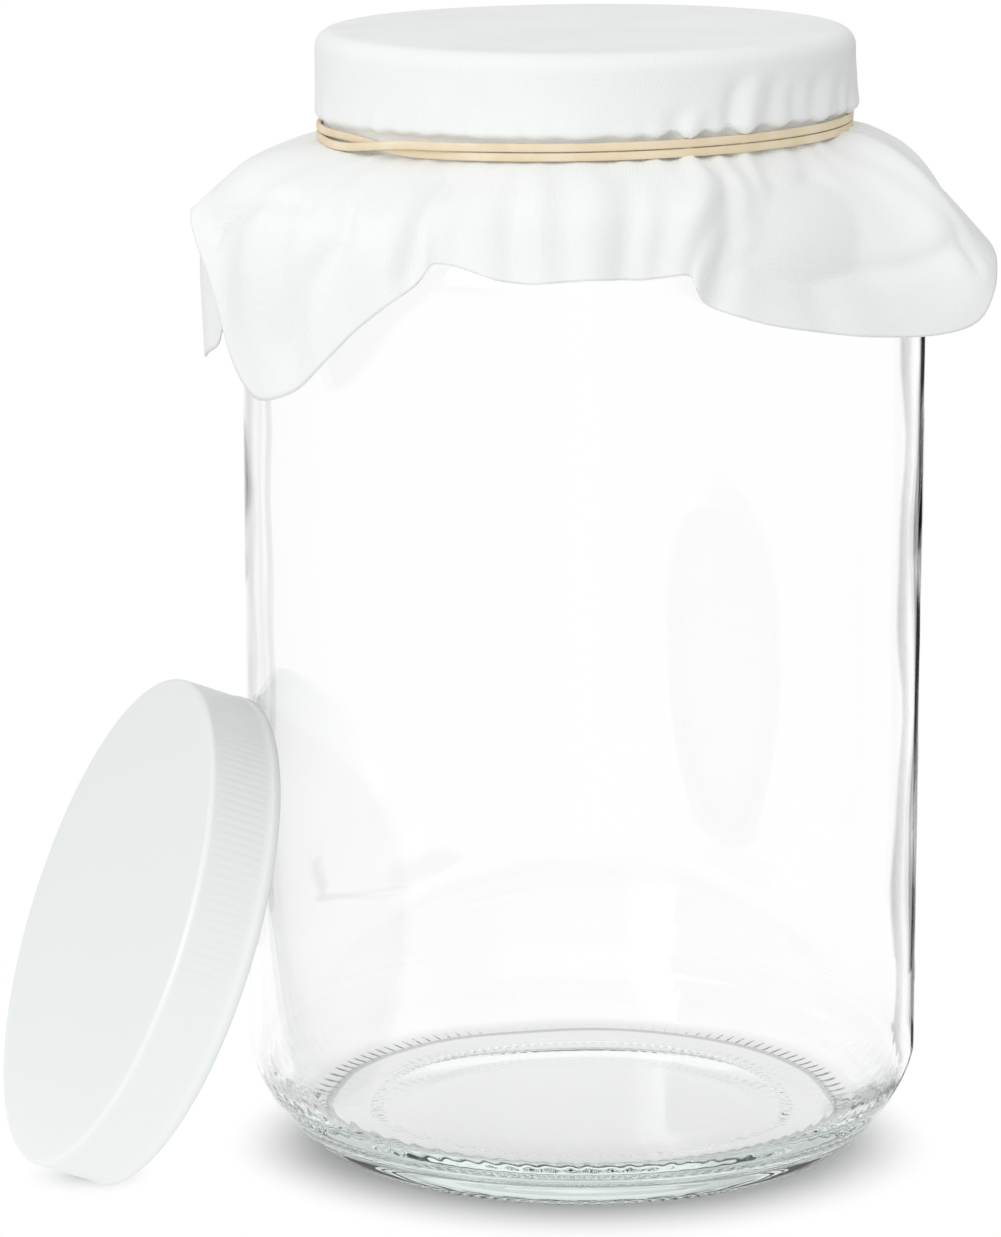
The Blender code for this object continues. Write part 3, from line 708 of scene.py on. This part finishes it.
# Folds between the lip and the band: azimuth at the lip and at the band, half width, depth, and the
# share of the side at which the fold starts
SIDE_FOLDS = (
    (8.5, 6.0, 1.2, -0.6, 0.55),
    (13.0, 12.0, 1.2, -0.4, 0.60),
    (20.5, 18.5, 1.6, -0.6, 0.35),
    (25.0, 23.0, 1.8, 0.4, 0.40),
    (32.5, 29.0, 2.2, -1.0, 0.05),
    (37.0, 34.5, 2.2, 0.7, 0.00),
    (42.5, 40.0, 2.0, -0.9, 0.05),
    (48.5, 47.0, 1.8, -0.7, 0.15),
    (56.0, 54.0, 2.2, -0.7, 0.10),
    (62.0, 60.0, 2.0, 0.6, 0.15),
    (68.0, 67.0, 2.0, -0.7, 0.20),
    (80.0, 82.0, 6.0, 0.5, 0.10),
    (-30.0, -26.0, 2.5, -0.4, 0.50),
    (-12.0, -14.0, 2.0, -0.35, 0.60),
    (122.0, 125.0, 3.0, -0.7, 0.20),
    (170.0, 168.0, 3.0, -0.8, 0.10),
    (212.0, 215.0, 2.4, -0.7, 0.30),
    (255.0, 252.0, 3.0, -0.8, 0.10),
)
# Creases across the threads, as straight lines on the flat cloth: turn and share of the way to the hem
# at both ends, half width and depth in millimetres
Crease = namedtuple("Crease", "turn_a share_a turn_b share_b width depth")
CREASES = (
    Crease(347, 0.92, 366, 0.30, 3.0, -2.0),
    Crease(366, 0.38, 367, 0.04, 2.4, -1.4),
    Crease(370, 0.08, 375, 0.58, 2.4, -1.6),
    Crease(375, 0.50, 363, 0.94, 3.0, -1.9),
    Crease(381, 1.00, 390, 0.06, 2.4, -2.1),
    Crease(90, 0.06, 92, 0.92, 2.8, -1.4),
    Crease(96, 0.98, 68, 0.62, 3.4, -1.4),
    Crease(80, 0.08, 75, 0.70, 2.5, -1.0),
)
PLEAT_DEPTH = 0.00058
BACK_WAVE = 0.0016
print(f"{len(THREADS)} threads, {len(SKIRT_FOLDS) + len(SIDE_FOLDS)} folds, {len(CREASES)} creases")


def band_centre(azimuth):
    """Height of the band's middle line at azimuths in degrees."""
    turn = np.radians(azimuth)
    return BAND_HEIGHT + BAND_TILT_SIDE * np.sin(turn) - BAND_TILT_FRONT * np.cos(turn)


def outside_radius(height):
    """Outer radius of the glass from the straight wall up to the mouth."""
    share = np.clip((height - SHOULDER_BASE) / SHOULDER_HEIGHT, 0, 1)
    shoulder = SHOULDER_START + (JAR_RADIUS - SHOULDER_START) * np.sqrt(1 - share * share)
    return np.where(height > SHOULDER_TOP, BEAD_RADIUS, shoulder)


# %% Between the listed threads
turns = 360 * np.arange(CLOTH_COLUMNS) / CLOTH_COLUMNS
listed = np.array(THREADS)


def between(column, closing=0.0):
    """One value of the threads at every turn, rounded off, going up by closing over one full turn."""
    at = np.concatenate([listed[:, 0], [360 + listed[0, 0]]])
    values = np.concatenate([listed[:, column], [listed[0, column] + closing]])
    fine = np.interp(turns, at, values)
    extended = np.concatenate([fine - closing, fine, fine + closing])
    weights = np.array([1, 2, 3, 3, 2, 1]) / 12
    rounded = np.convolve(extended, np.convolve(weights, [0.5, 0.5]), "same")
    return rounded[CLOTH_COLUMNS:2 * CLOTH_COLUMNS]


band_azimuth = between(1, 360.0)
hem_azimuth = between(2, 360.0)
hem_radius, hem_height = between(3) / 1000, between(4) / 1000
start_slope, end_slope = np.radians(between(5)), np.radians(between(7))
first_handle, last_handle = between(6) / 1000, between(8) / 1000

flat_end = CLOTH_TOP_RADIUS - CLOTH_TOP_ROUND
round_end = flat_end + CLOTH_TOP_ROUND * math.pi / 2
upper = round_end + JAR_HEIGHT + SEAT_GAP - CLOTH_TOP_ROUND - band_centre(band_azimuth) - BAND_HALF
lower = upper + 2 * BAND_HALF


def above_band(path):
    """Radius and height of the underside from the middle to the band's lower edge."""
    angle = np.clip((path - flat_end) / CLOTH_TOP_ROUND, 0, math.pi / 2)
    radius = np.minimum(path, flat_end) + CLOTH_TOP_ROUND * np.sin(angle)
    height = JAR_HEIGHT + SEAT_GAP - CLOTH_TOP_ROUND * (1 - np.cos(angle)) - np.maximum(path - round_end, 0)
    drawn = smooth(round_end + DRAWN_IN_FROM * (upper - round_end), upper, path)
    return radius - (CLOTH_TOP_RADIUS - CLOTH_WAIST_RADIUS - CLOTH_PACK) * drawn, height


def skirt(share):
    """Azimuth, radius and height of every thread at a share of its way from the band to the hem."""
    start_radius, start_height = above_band(lower)
    keep = 1 - share
    weights = (keep ** 3, 3 * keep ** 2 * share, 3 * keep * share ** 2, share ** 3)
    radii = (start_radius, start_radius + first_handle * np.cos(start_slope),
             hem_radius - last_handle * np.cos(end_slope), hem_radius)
    heights = (start_height, start_height - first_handle * np.sin(start_slope),
               hem_height + last_handle * np.sin(end_slope), hem_height)
    azimuth = band_azimuth + (hem_azimuth - band_azimuth) * smooth(0, 1, share)
    return azimuth, sum(w * r for w, r in zip(weights, radii)), sum(w * h for w, h in zip(weights, heights))


# %% Lay out the rows
reach = CLOTH_SIDE / 2 / np.cos(np.radians(45 - turns % 90))
not_hung = np.zeros(CLOTH_COLUMNS)
laid = [np.full(CLOTH_COLUMNS, path) for path in np.linspace(0.006, flat_end, 12)]
laid += [np.full(CLOTH_COLUMNS, path) for path in np.linspace(flat_end, round_end, 8)[1:]]
laid += [round_end + (upper - round_end) * share for share in np.linspace(0, 1, SIDE_ROWS + 1)[1:]]
laid += [upper + (lower - upper) * share for share in np.linspace(0, 1, 6)[1:]]
rows = [(path, not_hung, band_azimuth, *above_band(path)) for path in laid]
for share in np.linspace(0, 1, SKIRT_ROWS + 1)[1:]:
    rows.append((lower + (reach - lower) * share, np.full(CLOTH_COLUMNS, share), *skirt(share)))
paths, shares, azimuths, radii, heights = (np.array([row[index] for row in rows]) for index in range(5))
# On the flat top the threads run straight from the middle, and only gather towards the band
loose = smooth(0.3 * round_end, round_end, paths)
azimuths = turns - 45 + (azimuths - turns + 45) * loose
print(f"{len(rows)} rows of {CLOTH_COLUMNS} points")

# %% Push the folds in
def off_by(azimuth):
    """Degrees from an azimuth, from -180 to 180."""
    return (azimuths - azimuth + 180) % 360 - 180


pushed = np.zeros_like(radii)
for fold in SKIRT_FOLDS:
    centre = fold.start + (fold.end - fold.start) * shares
    width = fold.narrow + (fold.wide - fold.narrow) * shares
    push = fold.depth / 1000 * np.exp(-(off_by(centre) / width) ** 2)
    pushed += push * smooth(0, 0.25, shares) * (shares > 0)
side_share = np.clip((paths - round_end) / (upper - round_end), 0, 1)
above = paths <= lower
for top, bottom, width, depth_mm, begins in SIDE_FOLDS:
    centre = top + (bottom - top) * side_share
    grown = smooth(begins, begins + 0.35, side_share) * (1 - 0.5 * smooth(0.85, 1, side_share))
    pushed += above * (paths > round_end) * depth_mm / 1000 * np.exp(-(off_by(centre) / width) ** 2) * grown
# Short pleats beside the band, of uneven size
pleats = np.zeros_like(azimuths)
for count, phase in ((51, 0.4), (46, 2.1), (57, 4.4), (31, 1.0)):
    pleats += np.cos(np.radians(azimuths) * count + phase)
near_band = smooth(0.45, 1, side_share) * above + (1 - smooth(0, 0.30, shares)) * ~above
in_shade = 0.35 + 0.65 * smooth(-20, 30, (azimuths + 180) % 360 - 180)
pushed += PLEAT_DEPTH / 2 * pleats * near_band * in_shade
# Creases, as distances from lines on the flat cloth
flat_x = paths * np.cos(np.radians(turns))
flat_y = paths * np.sin(np.radians(turns))


def on_flat(turn, share):
    """Place on the flat cloth of a share of the way from the band to the hem."""
    column = int(round(turn % 360 / 360 * CLOTH_COLUMNS)) % CLOTH_COLUMNS
    path = lower[column] + (reach[column] - lower[column]) * share
    return path * math.cos(math.radians(turn)), path * math.sin(math.radians(turn))


for crease in CREASES:
    from_x, from_y = on_flat(crease.turn_a, crease.share_a)
    to_x, to_y = on_flat(crease.turn_b, crease.share_b)
    along = (flat_x - from_x) * (to_x - from_x) + (flat_y - from_y) * (to_y - from_y)
    along = np.clip(along / ((to_x - from_x) ** 2 + (to_y - from_y) ** 2), 0, 1)
    away = np.hypot(flat_x - from_x - along * (to_x - from_x), flat_y - from_y - along * (to_y - from_y))
    fading = smooth(0, 0.15, along) * (1 - smooth(0.85, 1, along))
    pushed += crease.depth / 1000 * np.exp(-(away * 1000 / crease.width) ** 2) * fading * (shares > 0)
# Loose waves at the back, where the photograph does not reach
back = smooth(80, 100, np.abs((azimuths + 180) % 360 - 180))
wave = np.cos(np.radians(15 * turns + 28.6 * np.sin(np.radians(3 * turns + 34))))
pushed += back * wave * BACK_WAVE * smooth(0, 0.6, shares)

# Folds that go inwards stop at the glass
stopped = np.maximum(radii + np.minimum(pushed, 0), outside_radius(heights) + GLASS_CLEARANCE)
radii = np.where(shares > 0, stopped, radii)
pushed = np.where(shares > 0, np.maximum(pushed, 0), pushed)
# The cotton lies a little higher over the right of the mouth
lift = TOP_LEAN * smooth(-0.03, 0.06, radii * np.sin(np.radians(azimuths)))
heights = heights + lift * (1 - smooth(0, 0.5, side_share))
points = around(azimuths, radii, heights)
across = np.roll(points, -1, axis=1) - np.roll(points, 1, axis=1)
outward = np.cross(np.gradient(points, axis=0), across)
outward /= np.maximum(np.linalg.norm(outward, axis=2, keepdims=True), 1e-12)
outward *= np.sign(outward[5, 0, 2])
points = points + outward * pushed[..., None]
length = np.linalg.norm(np.diff(points[-SKIRT_ROWS - 1:], axis=0), axis=2).sum(axis=0)
print(f"skirt threads: {length.min() * 1000:.0f} to {length.max() * 1000:.0f} mm, "
      f"flat {(reach - lower).min() * 1000:.0f} to {(reach - lower).max() * 1000:.0f} mm")

# %% Cotton finish and mesh
THREAD_SPACING = 0.0007
# Painted shade and light: the cotton is darker in the hollows of its creases and lighter on their ridges
COTTON_SHADED_HOLLOW = (0.880, 0.897, 0.892, 1)
COTTON_LIT_RIDGE = (0.905, 0.918, 0.913, 1)
WEAVE_SHARE = 0.2
SLUB_SHARE = 0.5
CREASE_SHARE = 2.2


def cotton():
    """Plain woven cotton: threads that cross over and under, and faint creases with painted shade in their
    hollows.
    """
    material, shader, graph = new_finish("white_cotton")
    flat = graph.node("ShaderNodeUVMap", {"uv_map": "flat_cloth"})
    warp, weft = split(graph, flat)[:2]
    over = warp.maths("SINE", warp * (2 * math.pi / THREAD_SPACING))
    under = weft.maths("SINE", weft * (2 * math.pi / THREAD_SPACING))
    slubs = graph.node("ShaderNodeTexNoise", None, {"Vector": flat, "Scale": 900.0, "Detail": 2.0})
    creases = graph.node("ShaderNodeTexNoise", None, {
        "Vector": flat, "Scale": 34.0, "Detail": 3.0, "Roughness": 0.45})
    relief = over * under * WEAVE_SHARE + slubs * SLUB_SHARE + creases * CREASE_SHARE
    bump = graph.node("ShaderNodeBump", None, {"Strength": 0.22, "Distance": 0.0006, "Height": relief})
    # Painted shade: the colour follows the crease relief, darker in its hollows and lighter on its ridges
    painted_crease_shade = creases.ramp(0.35, 0.65)
    colour = graph.node("ShaderNodeMix", {"data_type": "RGBA"}, {
        "Factor": painted_crease_shade, 6: COTTON_SHADED_HOLLOW, 7: COTTON_LIT_RIDGE}, 2)
    feed(shader, "Base Color", colour)
    feed(shader, "Normal", bump)
    shader.inputs["Roughness"].default_value = 0.92
    shader.inputs["Specular IOR Level"].default_value = 0.15
    shader.inputs["Sheen Weight"].default_value = 0.1
    return material


def cloth_mesh():
    """The laid cloth as one sheet, with its flat form kept as the map for the weave."""
    rows, columns = paths.shape
    faces = [tuple(reversed(range(columns)))]
    for row in range(rows - 1):
        faces += ring_faces(columns, columns, row * columns, (row + 1) * columns)
    mesh = bpy.data.meshes.new("cotton_cover")
    mesh.from_pydata(points.reshape(-1, 3).tolist(), [], faces)
    flat = np.stack([flat_x, flat_y], axis=-1).reshape(-1, 2)
    layer = mesh.uv_layers.new(name="flat_cloth")
    corners = np.zeros(len(mesh.loops), np.int32)
    mesh.loops.foreach_get("vertex_index", corners)
    layer.data.foreach_set("uv", flat[corners].astype(np.float32).ravel())
    return mesh


mesh = cloth_mesh()
mesh.shade_smooth()
mesh.materials.append(cotton())
cloth = bpy.data.objects.new("cotton_cover", mesh)
bpy.context.scene.collection.objects.link(cloth)
thick = cloth.modifiers.new("thickness", "SOLIDIFY")
thick.thickness = CLOTH_THICKNESS
thick.offset = 0
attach(cloth, "cover")
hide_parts("cloth_cover")
print(f"cotton_cover: {len(mesh.polygons)} faces")

# %% [markdown]
# ## Rubber band
#
# A rubber band is cut from an extruded tube. Here one loop is wound round the neck twice, so two
# strands show and they cross once. It is one unbroken tube: its middle line goes round twice, and
# where the passes change places one rises over the other.

# %% Sizes of the band
STRAND_THICKNESS = 0.0011
BAND_CROSSING = -50.0
CROSSING_TURN = 13.0
CROSSING_RISE = 0.0016
RISE_FULL_TURN = 12.0
RISE_START_TURN = 31.0
BAND_STEPS = 900
STRAND_POINTS = 20
STRAND_SQUARENESS = 0.6
LATEX_DARK = (0.80, 0.67, 0.46, 1)
LATEX_LIGHT = (0.86, 0.75, 0.56, 1)
print(f"strands of {STRAND_HEIGHT * 1000:.1f} x {STRAND_THICKNESS * 1000:.1f} mm")


# %% Wind the band twice
def rubber():
    """Cut latex: slightly cloudy in colour, with a fine grain."""
    material, shader, graph = new_finish("beige_rubber")
    spot = graph.node("ShaderNodeTexCoord", None, None, 3)
    cloud = graph.node("ShaderNodeTexNoise", None, {"Vector": spot, "Scale": 120.0, "Detail": 2.0})
    grain = graph.node("ShaderNodeTexNoise", None, {"Vector": spot, "Scale": 1400.0, "Detail": 2.0})
    colour = graph.node("ShaderNodeMix", {"data_type": "RGBA"}, {
        "Factor": cloud.ramp(0.3, 0.7), 6: LATEX_DARK, 7: LATEX_LIGHT}, 2)
    bump = graph.node("ShaderNodeBump", None, {"Strength": 0.3, "Distance": 0.0002, "Height": grain})
    feed(shader, "Base Color", colour)
    feed(shader, "Roughness", grain * 0.2 + 0.4)
    feed(shader, "Normal", bump)
    shader.inputs["Specular IOR Level"].default_value = 0.35
    return material


turned_by = 720 * np.arange(BAND_STEPS) / BAND_STEPS
away = (turned_by + 180) % 360 - 180
first_pass = (turned_by < 180) | (turned_by >= 540)
swap = smooth(-CROSSING_TURN, CROSSING_TURN, away) * 2 - 1
offset = STRAND_PITCH / 2 * np.where(first_pass, swap, -swap)
rise = CROSSING_RISE * (1 - smooth(RISE_FULL_TURN, RISE_START_TURN, np.abs(away))) * first_pass
line_azimuth = BAND_CROSSING + turned_by
line_radius = CLOTH_WAIST_RADIUS + CLOTH_THICKNESS + CLOTH_PACK + SEAT_GAP + STRAND_THICKNESS / 2 + rise
line_height = band_centre(line_azimuth) + offset
rings = []
for index in range(BAND_STEPS):
    angle = np.radians(360 * np.arange(STRAND_POINTS) / STRAND_POINTS)
    # A cut strip with rounded edges: between an oval and a rectangle
    out = STRAND_THICKNESS / 2 * np.sign(np.cos(angle)) * np.abs(np.cos(angle)) ** STRAND_SQUARENESS
    lift = STRAND_HEIGHT / 2 * np.sign(np.sin(angle)) * np.abs(np.sin(angle)) ** STRAND_SQUARENESS
    rings.append(around(line_azimuth[index], line_radius[index] + out, line_height[index] + lift))
strand = ringed_mesh("wound_band", rings, close=True)
place("wound_band", strand, "band", "rubber_band", rubber())

# %% [markdown]
# ## Screw cap and liner
#
# The cap is injection moulded: a flat top with a rounded edge, a skirt with fine ribs for grip, a
# smooth bead round the open rim, and a thread inside. A disc of foam under its top seals the mouth.
# It leans with the lowest point of its rim on the floor and the highest against the glass.

# %% Sizes of the cap
CAP_HEIGHT = 0.0165
CAP_WALL = 0.00105
CAP_TOP = 0.0015
CAP_EDGE_ROUND = 0.0013
CAP_THREAD_CLEARANCE = 0.00035
CAP_THREAD_START = 0.0027
CAP_THREAD_TURNS = 1.25
RIB_COUNT = 180
RIB_DEPTH = 0.00009
RIM_BEAD_HEIGHT = 0.0019
RIM_BEAD_PROUD = 0.0003
LINER_THICKNESS = 0.001
CAP_TILT = 21.2
CAP_INNER = THREAD_RADIUS + CAP_THREAD_CLEARANCE
CAP_RADIUS = CAP_INNER + CAP_WALL + 0.00025
CAP_FINE = 6 * RIB_COUNT
CAP_PLAIN = CAP_FINE // 3
WHITE_PLASTIC = (0.835, 0.865, 0.86)
FOAM = (0.86, 0.86, 0.84)
print(f"cap {CAP_RADIUS * 2000:.1f} mm across, {CAP_HEIGHT * 1000:.1f} mm high")


# %% Mould the cap
def plastic(name, colour, roughness, grain_size, depth):
    """Moulded plastic: one colour, with the fine grain of the mould or of the foam."""
    material, shader, graph = new_finish(name)
    spot = graph.node("ShaderNodeTexCoord", None, None, 3)
    grain = graph.node("ShaderNodeTexNoise", None, {"Vector": spot, "Scale": grain_size, "Detail": 2.0})
    bump = graph.node("ShaderNodeBump", None, {"Strength": 0.3, "Distance": depth, "Height": grain})
    shader.inputs["Base Color"].default_value = (*colour, 1)
    feed(shader, "Roughness", grain * 0.1 + (roughness - 0.05))
    feed(shader, "Normal", bump)
    return material


def cap_ring(radius, height, count, ribs=0.0, thread=0.0):
    """One ring of the cap about its own axis, with ribs outside or a thread inside."""
    angle = 2 * math.pi * np.arange(count) / count
    top = CAP_HEIGHT - CAP_TOP - LINER_THICKNESS - CAP_THREAD_START
    inwards = thread * thread_share(np.degrees(angle) / -360 % 1, height, top, CAP_THREAD_TURNS)
    grown = radius - ribs * (0.5 - 0.5 * np.cos(angle * RIB_COUNT)) - inwards
    return np.stack([grown * np.cos(angle), grown * np.sin(angle), np.full(count, height)], axis=-1)


rim = CAP_RADIUS + RIM_BEAD_PROUD
ribs_start = RIM_BEAD_HEIGHT + 0.0004
edge = CAP_HEIGHT - CAP_EDGE_ROUND
ceiling = CAP_HEIGHT - CAP_TOP
rings = [cap_ring(radius, CAP_HEIGHT, CAP_PLAIN) for radius in (0.004, 0.015, 0.030, 0.045, 0.050)]
rounding = arc((CAP_RADIUS - CAP_EDGE_ROUND, edge), (CAP_EDGE_ROUND, CAP_EDGE_ROUND), 90, 0, 8)
for radius, height in rounding[:-1]:
    rings.append(cap_ring(radius, height, CAP_PLAIN))
for height in np.linspace(edge, ribs_start, 12):
    shown = smooth(ribs_start, ribs_start + 0.0006, height) * (1 - smooth(edge - 0.001, edge, height))
    rings.append(cap_ring(CAP_RADIUS, height, CAP_FINE, ribs=RIB_DEPTH * float(shown)))
rings.append(cap_ring(rim - 0.0001, RIM_BEAD_HEIGHT, CAP_PLAIN))
bead = [(rim, RIM_BEAD_HEIGHT - 0.0003), (rim, 0.0003)]
bead += [(rim - 0.0003, 0.0), (CAP_INNER + 0.0003, 0.0)]
for radius, height in bead:
    rings.append(cap_ring(radius, height, CAP_PLAIN))
for height in np.linspace(0.0003, ceiling - 0.0006, 48):
    rings.append(cap_ring(CAP_INNER, height, CAP_PLAIN, thread=THREAD_DEPTH))
for radius in (CAP_INNER - 0.0006, 0.040, 0.020, 0.004):
    rings.append(cap_ring(radius, ceiling, CAP_PLAIN))

stand_off = JAR_RADIUS + SEAT_GAP + 2 * rim * math.sin(math.radians(CAP_TILT))
foot = Matrix.Translation(Vector(around(CAP_AZIMUTH, stand_off, 0.0).tolist()))
facing = Matrix.Rotation(math.radians(CAP_AZIMUTH - 90), 4, "Z")
lean = Matrix.Rotation(math.radians(90 - CAP_TILT), 4, "Y")
cap_place = foot @ facing @ lean @ Matrix.Translation((-rim, 0, 0))
mesh = ringed_mesh("ribbed_cap", rings)
mesh.transform(cap_place)
white = plastic("white_plastic", WHITE_PLASTIC, 0.32, 700.0, 0.00003)
place("ribbed_cap", mesh, "cap", "screw_cap", white)

# %% Cut the liner
liner_top = ceiling - SEAT_GAP
liner_radius = CAP_INNER - 0.0009
rings = []
liner_base = liner_top - LINER_THICKNESS
section = [(0.01, liner_top), (liner_radius - 0.0002, liner_top), (liner_radius, liner_top - 0.0002)]
section += [(liner_radius, liner_base + 0.0002), (liner_radius - 0.0002, liner_base), (0.01, liner_base)]
for radius, height in section:
    rings.append(cap_ring(radius, height, 180))
mesh = ringed_mesh("foam_liner", rings)
mesh.transform(cap_place)
foam = plastic("liner_foam", FOAM, 0.6, 1500.0, 0.0002)
place("foam_liner", mesh, "cap", "cap_liner", foam)
